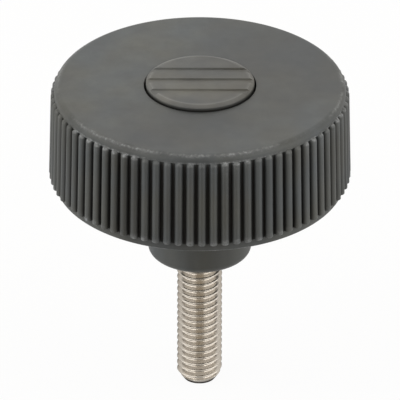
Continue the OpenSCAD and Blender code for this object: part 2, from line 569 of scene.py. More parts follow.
class Skin:
    """A mesh in the making, with its marks of painted shade and of scuffed edges with painted light.
    """

    def __init__(self) -> None:
        """Starts an empty mesh."""
        self.mesh = bmesh.new()
        self.marks = {mark: self.mesh.verts.layers.float.new(mark.value) for mark in Mark}

    def point(self, place: Point, recess: float = 0.0, edge: float = 0.0) -> Vert:
        """Adds a point.

        Args:
            place: Where it lies.
            recess: How much painted shade it gets, from 0 to 1.
            edge: How scuffed it is, with a painted highlight on the scuff.

        Returns:
            The point.
        """
        vert = self.mesh.verts.new(place)
        vert[self.marks[Mark.PAINTED_SHADE]] = recess
        vert[self.marks[Mark.EDGE]] = edge
        return vert

    def face(self, corners: Iterable[Vert]) -> None:
        """Adds a face."""
        self.mesh.faces.new(list(corners))

    def strip(self, low: list[Vert], high: list[Vert]) -> None:
        """Joins two rows of points, where each chord of the shorter spans several of the longer.

        Args:
            low: The points of one row.
            high: The points of the next.
        """
        longer, shorter = (low, high) if len(low) >= len(high) else (high, low)
        spans = len(shorter) - 1
        ends = [round(i * (len(longer) - 1) / spans) for i in range(spans + 1)]
        for i in range(spans):
            corners = longer[ends[i]: ends[i + 1] + 1] + [shorter[i + 1], shorter[i]]
            self.face(corners if longer is low else reversed(corners))

    def turned(self, rings: list[Ring], columns: int, start: float = 0.0) -> None:
        """Adds a turned surface.

        Args:
            rings: Its rings in order.
            columns: Number of points in a ring.
            start: Angle of the first column, in radians.
        """
        rows = []
        for ring in rings:
            row = []
            for i in range(columns):
                turn = start + i * math.tau / columns
                reach = ring.reach(turn)
                place = (reach * math.cos(turn), reach * math.sin(turn), ring.z)
                row.append(self.point(place, ring.recess, ring.edge))
            rows.append(row + row[:1])
        for low, high in zip(rows, rows[1:]):
            self.strip(low, high)

    def prism(self, outline: list[Pair], near: float, far: float) -> None:
        """Adds a closed prism along X.

        Args:
            outline: Its outline as pairs of Y and Z.
            near: X of one end.
            far: X of the other end.
        """
        ends = [[self.point((x, y, z)) for y, z in outline] for x in (near, far)]
        for i in range(len(outline)):
            j = (i + 1) % len(outline)
            self.face([ends[0][i], ends[0][j], ends[1][j], ends[1][i]])
        for end in ends:
            self.face(end)

    def take(self, part: bpy.types.Object) -> None:
        """Adds the mesh of an object, and removes the object."""
        self.mesh.from_mesh(part.data)
        bpy.data.objects.remove(part)

    def piece(self, name: str) -> bpy.types.Object:
        """Welds the mesh, turns its faces outwards and makes it an object.

        Args:
            name: Name of the object.

        Returns:
            The object, at the origin.
        """
        bmesh.ops.remove_doubles(self.mesh, verts=self.mesh.verts, dist=WELD)
        bmesh.ops.recalc_face_normals(self.mesh, faces=self.mesh.faces)
        data = bpy.data.meshes.new(name)
        self.mesh.to_mesh(data)
        self.mesh.free()
        piece = bpy.data.objects.new(name, data)
        bpy.context.scene.collection.objects.link(piece)
        return piece


def dress(
    piece: bpy.types.Object, finish: bpy.types.Material, crease: float, node: str
) -> bpy.types.Object:
    """Gives a finished piece its material and smooth shading, and puts it in its node's place.

    Args:
        piece: The piece.
        finish: Its only material.
        crease: Angle in degrees above which an edge stays sharp.
        node: The CAD node that it stands for.

    Returns:
        The piece.
    """
    data = piece.data
    data.materials.clear()
    data.materials.append(finish)
    data.polygons.foreach_set("material_index", [0] * len(data.polygons))
    data.shade_smooth()
    data.set_sharp_from_angle(angle=math.radians(crease))
    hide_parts(node)
    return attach(piece, "root")


def around_axis(
    name: str, piece: bpy.types.Object, count: int, start: float, finish: bpy.types.Material
) -> None:
    """Repeats a piece's mesh all the way around the Z axis.

    Args:
        name: Name of the node tree.
        piece: The piece, which holds one copy along +X.
        count: Number of copies.
        start: Angle of the first copy, in radians.
        finish: Material of the copies.
    """
    g = MeshGraph(name, {"Count": count, "First angle": start, "Finish": finish})
    step = g.math("DIVIDE", math.tau, g.inputs["Count"])
    g.finish(g.fan(g.inputs["Geometry"], g.inputs["Count"], g.inputs["First angle"], step))
    g.apply(piece)


# ---------------------------------------------------------------------------------------------
# The three pieces


@dataclass
class SectorRow:
    """One row of the grip's wall across one rib: a plain arc, or the rib's section at some scale."""

    z: float
    wall: float
    # Scale of the section, and below 0 for a plain arc
    width: float = -1.0
    height: float = 0.0
    # Radius of the rim that laps over the groove
    rim: float = 0.0
    recess: float = 0.0
    edge: float = 0.0
    coarse: bool = False


@dataclass
class KnobBody:
    """The moulded knob: ribbed grip, flat top with the cap's well, hub and hollow underside."""

    # Of the ribs' straight rows: share of the straight height, and marks of painted shade, lighter
    # towards the top, and of edge scuffing
    RIB_MARKS: ClassVar[tuple[Point, ...]] = (
        (0.08, 1.0, 0.05), (0.5, 0.95, 0.05), (0.85, 0.85, 0.05), (0.97, 0.7, 0.3),
    )
    # Wear marks round the rim's edge, from the ribs to the top face, strongest where they paint the
    # rim's highlight line
    RIM_WEAR_AND_HIGHLIGHT: ClassVar[tuple[float, ...]] = (0.0, 0.0, 0.05, 0.2, 0.6, 1.3, 1.0, 0.3, 0.1)
    # Wear marks of the ribs' feet and heads, and of the roundings' middles; on the feet, the heads
    # and the lower edge they paint highlights
    RIB_FOOT_WEAR_AND_HIGHLIGHT: ClassVar[float] = 1.8
    LEAST_HEAD_WEAR_AND_HIGHLIGHT: ClassVar[float] = 0.3
    HEAD_WEAR_AND_HIGHLIGHT: ClassVar[float] = 3.6
    LOW_EDGE_WEAR_AND_HIGHLIGHT: ClassVar[float] = 1.5
    HUB_WEAR: ClassVar[float] = 0.3

    top: float
    crest: float
    # The ribs, and the wall that carries them
    rib_count: int = 80
    rib_w: float = 1.45 * MM
    rib_proud: float = 1.05 * MM
    rib_turn: float = 0.8
    root_r: float = 0.14 * MM
    rib_end_r: float = 0.22 * MM
    draft: float = 1.3
    grip_h: float = 19 * MM
    plain_band_h: float = 1.5 * MM
    low_edge_r: float = 0.3 * MM
    # The rim above them
    rim_h: float = 1.3 * MM
    rim_step: float = 0.45 * MM
    rim_lap: float = 0.3 * MM
    top_edge_r: float = 1.1 * MM
    # The hub, its hole and the pocket of the screw's head
    hub_d: float = 18.2 * MM
    hub_edge_r: float = 1.3 * MM
    hole_r: float = 4.1 * MM
    hole_chamfer: float = 0.2 * MM
    pocket_flats: float = 6.6 * MM
    pocket_z: float = 20 * MM
    # The cap's well, and the groove of its snap bead
    well_r: float = 9.8 * MM
    well_depth: float = 5.2 * MM
    well_edge_r: float = 0.12 * MM
    groove_z: float = 29.4 * MM
    groove_r: float = 10.15 * MM
    # The hollow underside
    boss_r: float = 12 * MM
    plate_t: float = 3.2 * MM
    wall_t: float = 2.6 * MM
    hollow_r: float = 1.5 * MM
    inner_edge_r: float = 0.3 * MM
    web_count: int = 6
    web_t: float = 1.6 * MM
    web_set_back: float = 2.3 * MM
    web_root: float = 0.6 * MM
    # Chords across one rib and its groove, on the ribs and on the plain surfaces
    columns: int = 22
    coarse_columns: int = 3
    finish: MouldedPlastic = GRIP_PLASTIC

    @property
    def sector(self) -> float:
        """Angle of one rib and its groove, in radians."""
        return math.tau / self.rib_count

    @property
    def start(self) -> float:
        """Angle of the middle of the first rib, in radians."""
        return math.radians(self.rib_turn - 90)

    @property
    def foot(self) -> float:
        """Height of the grip's lower edge."""
        return self.top - self.grip_h

    @property
    def rib_foot(self) -> float:
        """Height of the ribs' lower ends."""
        return self.foot + self.plain_band_h

    @property
    def head(self) -> float:
        """Height of the ribs' upper ends."""
        return self.top - self.rim_h

    @property
    def dome_h(self) -> float:
        """Height of the ribs' domed heads."""
        return self.rib_w / 2

    @property
    def rim_r(self) -> float:
        """Radius of the plain rim above the ribs."""
        return self.wall(self.head) + self.rim_step

    @property
    def top_join(self) -> float:
        """Radius on the top face where the ribbed skin meets the turned one."""
        return self.rim_r - 2 * self.top_edge_r

    @property
    def underside_join(self) -> float:
        """Radius on the underside where the ribbed skin meets the turned one."""
        return self.wall(self.foot) - 4 * self.low_edge_r

    def wall(self, z: float) -> float:
        """Radius of the wall between the ribs at height z."""
        taper = (z - self.rib_foot) * math.tan(math.radians(self.draft))
        return self.crest - self.rib_proud - taper

    def inside(self, z: float) -> float:
        """Radius of the inside of the wall at height z."""
        taper = (z - self.foot) * math.tan(math.radians(self.draft))
        return self.wall(self.foot) - self.wall_t - taper

    def rib_outline(self, width: float, height: float) -> list[Point]:
        """Section of one rib, from the groove on one side to the groove on the other.

        Args:
            width: Scale of its width.
            height: Scale of its height.

        Returns:
            Offsets along the wall and out of it, and how deep each point lies in the groove.
        """
        half = self.rib_w / 2
        near = self.root_r * (1 - math.sqrt(0.5))
        side = [(half + self.root_r, 0.0), (half + near, near), (half, self.root_r)]
        arc_steps = self.columns - 2 * len(side) - 2
        crest = arc((0.0, self.rib_proud - half), half, 180, 0, arc_steps)
        outline = [(-s, h) for s, h in side] + crest + list(reversed(side))
        return [(s * width, h * height, (1 - h / self.rib_proud) * height) for s, h in outline]

    def foot_rows(self) -> list[SectorRow]:
        """Rows of the underside's edge and of the plain band.

        Returns:
            The rows, upwards.
        """
        steps = 5
        band_r = self.wall(self.rib_foot)
        rows = [SectorRow(self.foot, self.underside_join, coarse=True)]
        # Here and below, a row or ring close to a rounding keeps the flat beside it flat
        rows.append(SectorRow(self.foot, self.wall(self.foot) - 1.6 * self.low_edge_r))
        low = (self.wall(self.foot) - self.low_edge_r, self.foot + self.low_edge_r)
        # The lower edge's rounding carries a painted highlight line, strongest at its middle
        for i, (r, z) in enumerate(arc(low, self.low_edge_r, -90, 0, steps)):
            rows.append(SectorRow(z, r, edge=self.LOW_EDGE_WEAR_AND_HIGHLIGHT * math.sin(math.pi * i / steps)))
        # Painted shadow under the ribs' feet, darkening the plain band towards them
        rows.append(SectorRow(self.rib_foot - 0.6 * MM, band_r, recess=0.18))
        rows.append(SectorRow(self.rib_foot - self.rib_end_r, band_r, recess=0.27))
        rows.append(SectorRow(self.rib_foot, band_r, 0.0, 0.0, recess=0.55))
        return rows

    def rib_rows(self) -> list[SectorRow]:
        """Rows of the ribs, from their rounded feet to where their heads begin.

        Returns:
            The rows, upwards.
        """
        rows = []
        # The feet's rounds sit in full painted shade in the grooves and carry painted highlights on
        # the ribs
        for out, rise in arc((0.0, self.rib_end_r), self.rib_end_r, -90, 0, 4):
            inset = self.rib_end_r - out
            z = self.rib_foot + rise
            width = 1 - inset / (self.rib_w / 2)
            height = 1 - inset / self.rib_proud
            edge = self.RIB_FOOT_WEAR_AND_HIGHLIGHT
            rows.append(SectorRow(z, self.wall(z), width, height, recess=1.0, edge=edge))
        for share, recess, edge in self.RIB_MARKS:
            z = self.rib_foot + share * (self.head - self.dome_h - self.rib_foot)
            rows.append(SectorRow(z, self.wall(z), 1.0, 1.0, recess=recess, edge=edge))
        return rows

    def head_rows(self) -> list[SectorRow]:
        """Rows of the ribs' domed heads, with the ledge where the rim laps over the grooves.

        Returns:
            The rows, upwards.
        """
        steps = 7
        ledge = self.head - self.rim_lap
        rises = [math.sin(math.radians(90 * i / steps)) for i in range(steps + 1)]
        heights = [self.head - self.dome_h + self.dome_h * rise for rise in rises]
        places = [(z, 0.0) for z in heights if z < ledge]
        places += [(ledge, 0.0), (ledge, self.rim_r)]
        places += [(z, self.rim_r) for z in heights if z > ledge]
        rows = []
        for z, rim in places:
            rise = min((z - self.head + self.dome_h) / self.dome_h, 1.0)
            width = math.sqrt(max(0.0, 1 - rise**2)) if rise < 0.9999 else 0.0
            proud = self.rib_proud - self.dome_h + self.dome_h * width
            height = proud / self.rib_proud if width else 0.0
            # Each head carries a painted highlight part way up its dome, beside painted shade in the
            # grooves
            edge = self.LEAST_HEAD_WEAR_AND_HIGHLIGHT + self.HEAD_WEAR_AND_HIGHLIGHT * rise * width
            rows.append(SectorRow(z, self.wall(z), width, height, rim, recess=0.45, edge=edge))
        return rows

    def rim_rows(self) -> list[SectorRow]:
        """Rows round the rim's edge and onto the top face.

        Returns:
            The rows, inwards.
        """
        high = (self.rim_r - self.top_edge_r, self.top - self.top_edge_r)
        edge = arc(high, self.top_edge_r, 0, 90, len(self.RIM_WEAR_AND_HIGHLIGHT) - 1)
        rows = [SectorRow(z, r, edge=wear_and_highlight) for (r, z), wear_and_highlight in zip(edge, self.RIM_WEAR_AND_HIGHLIGHT)]
        rows.append(SectorRow(self.top, high[0] - 0.15 * MM))
        rows.append(SectorRow(self.top, self.top_join, coarse=True))
        return rows

    def row_points(self, skin: Skin, row: SectorRow) -> list[Vert]:
        """Adds the points of one row of the sector that lies along +X.

        Args:
            skin: The mesh that they go into.
            row: The row.

        Returns:
            The points, from one side of the sector to the other.
        """
        half = self.sector / 2
        if row.width < 0:
            count = self.coarse_columns if row.coarse else self.columns
            turns = [-half + self.sector * i / count for i in range(count + 1)]
            places = [(row.wall * math.cos(t), row.wall * math.sin(t), row.z) for t in turns]
            return [skin.point(place, row.recess, row.edge) for place in places]
        plain = max(row.wall, row.rim)
        recess = 0.0 if row.rim else row.recess
        ends = [(plain * math.cos(t), plain * math.sin(t), row.z) for t in (-half, half)]
        points = [skin.point(ends[0], recess)]
        for along, out, depth in self.rib_outline(row.width, row.height):
            reach = math.sqrt(row.wall**2 - along**2) + out
            rim = math.sqrt(row.rim**2 - along**2) if row.rim else 0.0
            # Painted shade deepens down the groove, and the edge scuffs and their painted highlight
            # fade there
            depth = 0.0 if rim > reach else depth * row.recess
            wear_and_highlight = row.edge * (1 - depth) ** 3
            points.append(skin.point((max(reach, rim), along, row.z), depth, wear_and_highlight))
        points.append(skin.point(ends[1], recess))
        return points

    def ribbed_skin(self, finish: bpy.types.Material) -> bpy.types.Object:
        """Builds one rib's sector of the grip's wall and repeats it around the axis.

        Args:
            finish: Its material.

        Returns:
            The wall, open towards the axis.
        """
        skin = Skin()
        levels = self.foot_rows() + self.rib_rows() + self.head_rows() + self.rim_rows()
        rows = [self.row_points(skin, level) for level in levels]
        for low, high in zip(rows, rows[1:]):
            skin.strip(low, high)
        piece = skin.piece("ribbed_skin")
        around_axis("grip_ribs", piece, self.rib_count, self.start, finish)
        return piece

    def webs(self, finish: bpy.types.Material) -> bpy.types.Object:
        """Builds one web and repeats it around the axis.

        Args:
            finish: Its material.

        Returns:
            The webs.
        """
        skin = Skin()
        low = self.foot + self.web_set_back
        high = self.top - self.plate_t / 2
        edge = self.inner_edge_r
        half = self.web_t / 2
        outline = [(-half, high)]
        outline += arc((-half + edge, low + edge), edge, 180, 270, 4)
        outline += arc((half - edge, low + edge), edge, 270, 360, 4)
        outline.append((half, high))
        near = self.hub_d / 2 - self.web_root
        skin.prism(outline, near, self.inside(low) + self.wall_t / 3)
        piece = skin.piece("webs")
        around_axis("webs", piece, self.web_count, math.pi / self.web_count, finish)
        return piece

    def well_rings(self) -> list[Ring]:
        """Rings from the top face, down the well and the pocket, and through the hole.

        Returns:
            The rings, downwards.
        """
        steps = 4
        floor = self.top - self.well_depth
        corner = self.pocket_flats * 2
        edge = (self.well_r + self.well_edge_r, self.top - self.well_edge_r)
        rings = [Ring(self.top_join, self.top), Ring(edge[0] + self.well_edge_r, self.top)]
        # The well's edge is scuffed, and painted shade darkens it and the wall below down into the
        # gap round the cap
        for i, (r, z) in enumerate(arc(edge, self.well_edge_r, 90, 180, steps)):
            rings.append(Ring(r, z, edge=0.25, recess=0.2 * i / steps))
        rings.append(Ring(self.well_r, self.top - 0.5 * MM, recess=1.0))
        rings += snap_rings(self.groove_z, (self.well_r, 0.6 * MM), (self.groove_r, 0.4 * MM))
        rings.append(Ring(self.well_r, floor))
        rings += [Ring(corner, z, flats=self.pocket_flats) for z in (floor, self.pocket_z)]
        rings += [Ring(self.hole_r, self.pocket_z), Ring(self.hole_r, self.hole_chamfer)]
        rings.append(Ring(self.hole_r + self.hole_chamfer, 0.0))
        return rings

    def hub_rings(self) -> list[Ring]:
        """Rings from the hub's seating face, round its edge and up to the flare at its root.

        Returns:
            The rings, upwards.
        """
        steps = 9
        hub = self.hub_d / 2
        rings = [Ring(hub - 1.2 * self.hub_edge_r, 0.0)]
        edge = arc((hub - self.hub_edge_r, self.hub_edge_r), self.hub_edge_r, -90, 0, steps)
        for i, (r, z) in enumerate(edge):
            rings.append(Ring(r, z, edge=self.HUB_WEAR * math.sin(math.pi * i / steps)))
        heights = (1.3 * self.hub_edge_r, self.foot - 0.4 * MM, self.foot)
        rings += [Ring(hub, z) for z in heights]
        flare_r = (hub + self.boss_r) / 2
        rings.append(Ring(flare_r, self.foot + flare_r - hub))
        return rings

    def hollow_rings(self) -> list[Ring]:
        """Rings from the boss round the well, under the top plate and down to the lower edge.

        Returns:
            The rings, outwards.
        """
        roof = self.top - self.plate_t - self.hollow_r
        edge = self.inner_edge_r
        lip = (self.inside(self.foot) + edge, self.foot + edge)
        section = arc((self.boss_r + self.hollow_r, roof), self.hollow_r, 180, 90, 6)
        rim = (self.inside(self.top - self.plate_t) - self.hollow_r, roof)
        section += arc(rim, self.hollow_r, 90, 0, 6)
        section.append((self.inside(self.foot + 2 * edge), self.foot + 2 * edge))
        section += arc(lip, edge, 180, 270, 4)
        section.append((self.underside_join, self.foot))
        return [Ring(r, z) for r, z in section]

    def build(self) -> bpy.types.Object:
        """Builds and dresses the piece.

        Returns:
            The piece, which stands for the CAD node.
        """
        finish = self.finish.material()
        parts = [self.ribbed_skin(finish), self.webs(finish)]
        skin = Skin()
        for part in parts:
            skin.take(part)
        rings = self.well_rings() + self.hub_rings() + self.hollow_rings()
        skin.turned(rings, self.rib_count * self.coarse_columns, self.start - self.sector / 2)
        return dress(skin.piece("moulded_knob"), finish, 40, "knob_body")


@dataclass
class CoverCap:
    """The snap-in cap: bevelled face with parallel grooves, and a slotted skirt with a snap bead."""

    top: float
    foot: float
    radius: float = 9.5 * MM
    bevel_w: float = 0.7 * MM
    bevel_h: float = 0.42 * MM
    edge_r: float = 0.07 * MM
    proud: float = 1 * MM
    face_t: float = 3 * MM
    skirt_t: float = 1.2 * MM
    groove_count: int = 3
    groove_pitch: float = 3.8 * MM
    groove_w: float = 1.3 * MM
    groove_depth: float = 0.24 * MM
    groove_flare: float = 0.12 * MM
    groove_shift: float = -0.17 * MM
    slot_w: float = 2 * MM
    bead_z: float = 29.4 * MM
    bead_r: float = 10.05 * MM
    # How far the cutters run past the surfaces that they cut
    overrun: float = 1 * MM
    columns: int = 240
    finish: MouldedPlastic = CAP_PLASTIC

    def rings(self) -> list[Ring]:
        """Rings of the closed section.

        Returns:
            The rings, from the middle of the face round to the middle of its back.
        """
        skirt = self.radius - self.skirt_t
        back = self.top - self.face_t
        rim = self.radius - self.bevel_w
        bevel_foot = self.top - self.bevel_h
        seam = self.top - self.proud
        edge_r = self.edge_r
        # The bevel's edges carry scuffs with a painted highlight line, and painted shade darkens the
        # wall into the gap
        rings = [
            Ring(0.0, self.top),
            Ring(rim - 0.5 * MM, self.top),
            Ring(rim - edge_r, self.top, edge=0.5),
            Ring(rim, self.top - edge_r * 0.2, edge=1.0),
            Ring(rim + edge_r, self.top - edge_r * 0.7, edge=0.6),
            Ring(self.radius - edge_r, bevel_foot + edge_r * 0.7, edge=0.3),
            Ring(self.radius, bevel_foot - edge_r, edge=0.3),
            Ring(self.radius, seam + 0.3 * MM, recess=0.3),
            Ring(self.radius, seam, recess=0.9),
        ]
        rings += snap_rings(self.bead_z, (self.radius, 0.8 * MM), (self.bead_r, 0.3 * MM))
        rings += [Ring(self.radius, self.foot), Ring(skirt, self.foot)]
        rings += [Ring(skirt, back), Ring(0.0, back)]
        return rings

    def groove_cutter(self) -> bpy.types.Object:
        """Builds the bar that cuts one groove, a little wider at the top.

        Returns:
            The bar, along X.
        """
        skin = Skin()
        half = self.groove_w / 2
        floor = self.top - self.groove_depth
        rise = self.top + self.overrun
        spread = half + self.groove_flare * (1 + self.overrun / self.groove_depth)
        outline = [(-half, floor), (half, floor), (spread, rise), (-spread, rise)]
        skin.prism(outline, -self.radius * 1.2, self.radius * 1.2)
        return skin.piece("groove_cutter")

    def slot_cutter(self) -> bpy.types.Object:
        """Builds the bar that cuts two slots in the skirt.

        Returns:
            The bar, along X.
        """
        skin = Skin()
        half = self.slot_w / 2
        low = self.foot - self.overrun
        high = self.top - self.face_t
        outline = [(-half, low), (half, low), (half, high), (-half, high)]
        skin.prism(outline, -self.radius * 1.3, self.radius * 1.3)
        return skin.piece("slot_cutter")

    def cut(self, piece: bpy.types.Object, finish: bpy.types.Material) -> None:
        """Cuts the grooves and slots.

        Args:
            piece: The whole cap.
            finish: Its material.
        """
        cutters = {"Groove cutter": self.groove_cutter(), "Slot cutter": self.slot_cutter()}
        sizes = {"Pitch": self.groove_pitch, "Shift": self.groove_shift}
        inputs = {**cutters, "Grooves": self.groove_count, **sizes, "Finish": finish}
        g = MeshGraph("cap_cuts", inputs)
        bars = []
        for name in cutters:
            bar = g.add("GeometryNodeObjectInfo", {"Object": g.inputs[name]})
            bars.append(bar.outputs["Geometry"])
        last = g.math("SUBTRACT", g.inputs["Grooves"], 1.0)
        width = g.math("MULTIPLY", last, g.inputs["Pitch"])
        first = g.math("MULTIPLY_ADD", width, -0.5, g.inputs["Shift"])
        places = {
            "Count": g.inputs["Grooves"],
            "Start Location": g.position(0.0, first, 0.0),
            "Offset": g.position(0.0, g.inputs["Pitch"], 0.0),
        }
        grooves = g.copies(g.add("GeometryNodeMeshLine", places).outputs[0], bars[0])
        slots = g.fan(bars[1], 2, math.pi / 4, math.pi / 2)
        solid = g.inputs["Geometry"]
        for bar in (grooves, slots):
            whole = g.add("GeometryNodeRealizeInstances", {"Geometry": bar}).outputs[0]
            meshes = {"Mesh 1": solid, "Mesh 2": whole, "Self Intersection": True}
            how = {"operation": "DIFFERENCE", "solver": "EXACT"}
            solid = g.add("GeometryNodeMeshBoolean", meshes, **how).outputs[0]
        g.finish(solid)
        g.apply(piece)
        for cutter in cutters.values():
            bpy.data.objects.remove(cutter)

    def build(self) -> bpy.types.Object:
        """Builds and dresses the piece.

        Returns:
            The piece, which stands for the CAD node.
        """
        finish = self.finish.material()
        skin = Skin()
        skin.turned(self.rings(), self.columns)
        piece = skin.piece("snap_cap")
        self.cut(piece, finish)
        return dress(piece, finish, 25, "cover_cap")


@dataclass
class ThreadedStud:
    """The screw: rolled metric thread, relief, plain shank and hexagon head."""

    # In pitches: half the flat of a crest, the thread's depth, and the rounding that rolling leaves
    CREST_HALF: ClassVar[float] = 1 / 16
    DEPTH: ClassVar[float] = 0.6134
    CREST_ROUNDING: ClassVar[float] = 0.28
    ROOT_ROUNDING: ClassVar[float] = 0.2

    tip: float
    head_top: float
    crest: float = 3.98 * MM
    pitch: float = 1.25 * MM
    relief_len: float = 3 * MM
    relief_depth: float = 0.95 * MM
    shank_r: float = 4 * MM
    tip_chamfer_w: float = 1.2 * MM
    tip_chamfer_h: float = 1.7 * MM
    head_flats: float = 6.5 * MM
    head_h: float = 5.3 * MM
    head_chamfer: float = 30
    # Pitch and height of the turning lines on the tip's chamfer
    cut_line: float = 0.25 * MM
    cut_line_h: float = 0.25 * MM / 18
    # Heights above the tip between which its dark ring, a painted dark reflection, fades, and the
    # ring's inner radius
    dark_tip_low: float = 0.4 * MM
    dark_tip_high: float = 0.75 * MM
    dark_tip_r: float = 1 * MM
    columns: int = 72
    rows_per_turn: int = 24
    # Column of the plain part at which the thread starts
    start_column: int = 11
    finish: RolledSteel = STAINLESS

    @property
    def neck(self) -> float:
        """Radius of the relief."""
        return self.crest - self.relief_depth

    def rings(self) -> list[Ring]:
        """Rings of the plain part.

        Returns:
            The rings, from the relief to the middle of the head's outer face.
        """
        steps = 4
        seat = self.head_top - self.head_h
        corner = self.head_flats / math.cos(math.pi / 6)
        face_r = 0.95 * self.head_flats
        slope = math.tan(math.radians(self.head_chamfer))
        rings = [
            Ring(self.neck, self.relief_depth),
            Ring(self.neck, self.relief_len - (self.shank_r - self.neck)),
            Ring(self.shank_r, self.relief_len),
            Ring(self.shank_r, seat),
            Ring(corner, seat, flats=self.head_flats),
        ]
        for i in range(steps + 1):
            radius = corner + (face_r - corner) * i / steps
            z = self.head_top - (radius - face_r) * slope
            rings.append(Ring(radius, z, flats=self.head_flats))
        rings.append(Ring(0.0, self.head_top))
        return rings

    def thread_radius(self, g: MeshGraph, along: Socket, z: Socket) -> Socket:
        """Radius of the thread, whose ends the tip's chamfer and the relief hold back.

        Args:
            g: The node tree.
            along: Place along the thread, in turns, with a crest at each whole number.
            z: Height.

        Returns:
            The radius.
        """
        crest = g.inputs["Crest"]
        off_crest = g.math("PINGPONG", along, 0.5)
        flank = g.math("MULTIPLY", g.math("SUBTRACT", off_crest, self.CREST_HALF), math.sqrt(3))
        depth = g.math("SMOOTH_MAX", flank, 0.0, self.CREST_ROUNDING)
        depth = g.math("SMOOTH_MIN", depth, self.DEPTH, self.ROOT_ROUNDING)
        profile = g.math("SUBTRACT", crest, g.math("MULTIPLY", depth, g.inputs["Pitch"]))
        above_tip = g.math("SUBTRACT", z, g.inputs["Tip"])
        slope = self.tip_chamfer_w / self.tip_chamfer_h
        chamfer_foot = g.math("SUBTRACT", crest, self.tip_chamfer_w)
        chamfer = g.math("MULTIPLY_ADD", above_tip, slope, chamfer_foot)
        lines = g.math("DIVIDE", g.math("MULTIPLY", above_tip, math.tau), g.inputs["Cut line"])
        chamfer = g.math("MULTIPLY_ADD", g.math("COSINE", lines), self.cut_line_h, chamfer)
        relief = g.math("SUBTRACT", crest, g.math("MAXIMUM", z, 0.0))
        return g.math("MINIMUM", profile, g.math("MINIMUM", chamfer, relief))

    def mark_tip(self, g: MeshGraph, screw: Socket) -> Socket:
        """Marks the dark ring at the tip, a painted dark reflection.

        Args:
            g: The node tree.
            screw: The thread.

        Returns:
            The thread with its mark.
        """
        x, y, z = g.split(g.add("GeometryNodeInputPosition").outputs[0])
        height = g.math("SUBTRACT", z, g.inputs["Tip"])
        painted_dark_tip = g.spread(height, self.dark_tip_low, self.dark_tip_high, 1.0, 0.0)
        off_axis = g.math("MULTIPLY_ADD", x, x, g.math("MULTIPLY", y, y))
        painted_dark_tip = g.math("MULTIPLY", painted_dark_tip, g.math("GREATER_THAN", off_axis, self.dark_tip_r**2))
        marked = {"Geometry": screw, "Name": Mark.EDGE.value, "Value": painted_dark_tip}
        return g.add("GeometryNodeStoreNamedAttribute", marked, data_type="FLOAT").outputs[0]

    def thread(self, piece: bpy.types.Object, finish: bpy.types.Material) -> None:
        """Adds the right-hand thread below the plain part, as a grid wound into a helix.

        Args:
            piece: The piece, whose mesh is the plain part with an open lower end.
            finish: Its material.
        """
        sizes = {"Tip": self.tip, "Crest": self.crest, "Pitch": self.pitch}
        g = MeshGraph("rolled_thread", {**sizes, "Cut line": self.cut_line, "Finish": finish})
        tip, pitch = g.inputs["Tip"], g.inputs["Pitch"]
        turns = math.ceil((self.relief_depth - self.tip) / self.pitch) + 1
        size = {"Size X": 1.0, "Size Y": float(turns)}
        counts = {"Vertices X": self.columns + 1, "Vertices Y": turns * self.rows_per_turn + 1}
        grid = g.add("GeometryNodeMeshGrid", {**size, **counts}).outputs[0]
        place = g.split(g.add("GeometryNodeInputPosition").outputs[0])
        around = g.math("ADD", place[0], 0.5)
        along = g.math("ADD", place[1], turns / 2)
        rise = g.math("SUBTRACT", g.math("ADD", along, around), 1.0)
        z = g.math("MINIMUM", g.math("MULTIPLY_ADD", rise, pitch, tip), self.relief_depth)
        z = g.math("MAXIMUM", z, tip)
        # The first row closes the end
        past_first = g.math("GREATER_THAN", along, 0.5 / self.rows_per_turn)
        radius = g.math("MULTIPLY", self.thread_radius(g, along, z), past_first)
        start = math.tau * self.start_column / self.columns
        turn = g.math("MULTIPLY_ADD", around, math.tau, start)
        x = g.math("MULTIPLY", radius, g.math("COSINE", turn))
        y = g.math("MULTIPLY", radius, g.math("SINE", turn))
        wound = {"Geometry": grid, "Position": g.position(x, y, z)}
        screw = g.add("GeometryNodeSetPosition", wound).outputs[0]
        joined = g.add("GeometryNodeJoinGeometry", {0: self.mark_tip(g, screw)})
        g.tree.links.new(g.inputs["Geometry"], joined.inputs[0])
        g.finish(joined.outputs[0])
        g.apply(piece)

    def build(self) -> bpy.types.Object:
        """Builds and dresses the piece.

        Returns:
            The piece, which stands for the CAD node.
        """
        finish = self.finish.material()
        plain = Skin()
        plain.turned(self.rings(), self.columns)
        blank = plain.piece("plain_part")
        self.thread(blank, finish)
        skin = Skin()
        skin.take(blank)
        return dress(skin.piece("threaded_screw"), finish, 30, "threaded_stud")


# ---------------------------------------------------------------------------------------------
# The studio


def outward(azimuth: float, elevation: float) -> Vector:
    """Direction from the knob towards something around it.

    Args:
        azimuth: Angle from the front, in degrees.
        elevation: Angle above the horizon, in degrees.

    Returns:
        The direction, of length 1.
    """
    turn, rise = math.radians(azimuth), math.radians(elevation)
    level = math.cos(rise)
    return Vector((math.sin(turn) * level, -math.cos(turn) * level, math.sin(rise)))


@dataclass
class Lamp:
    """A rectangular soft light that looks at the knob."""

    name: str
    azimuth: float
    elevation: float
    power: float
    size: Pair
    reflected: bool = False
    distance: float = 0.7

    def build(self, target: Vector) -> None:
        """Builds the light.

        Args:
            target: The point that it looks at.
        """
        light = bpy.data.lights.new(self.name, "AREA")
        light.shape = "RECTANGLE"
        light.size, light.size_y = self.size
        light.energy = self.power
        lamp = bpy.data.objects.new(self.name, light)
        lamp.visible_camera = False
        lamp.visible_glossy = self.reflected
        away = outward(self.azimuth, self.elevation)
        lamp.location = target + away * self.distance
        lamp.rotation_euler = away.to_track_quat("Z", "Y").to_euler()
        bpy.context.scene.collection.objects.link(lamp)


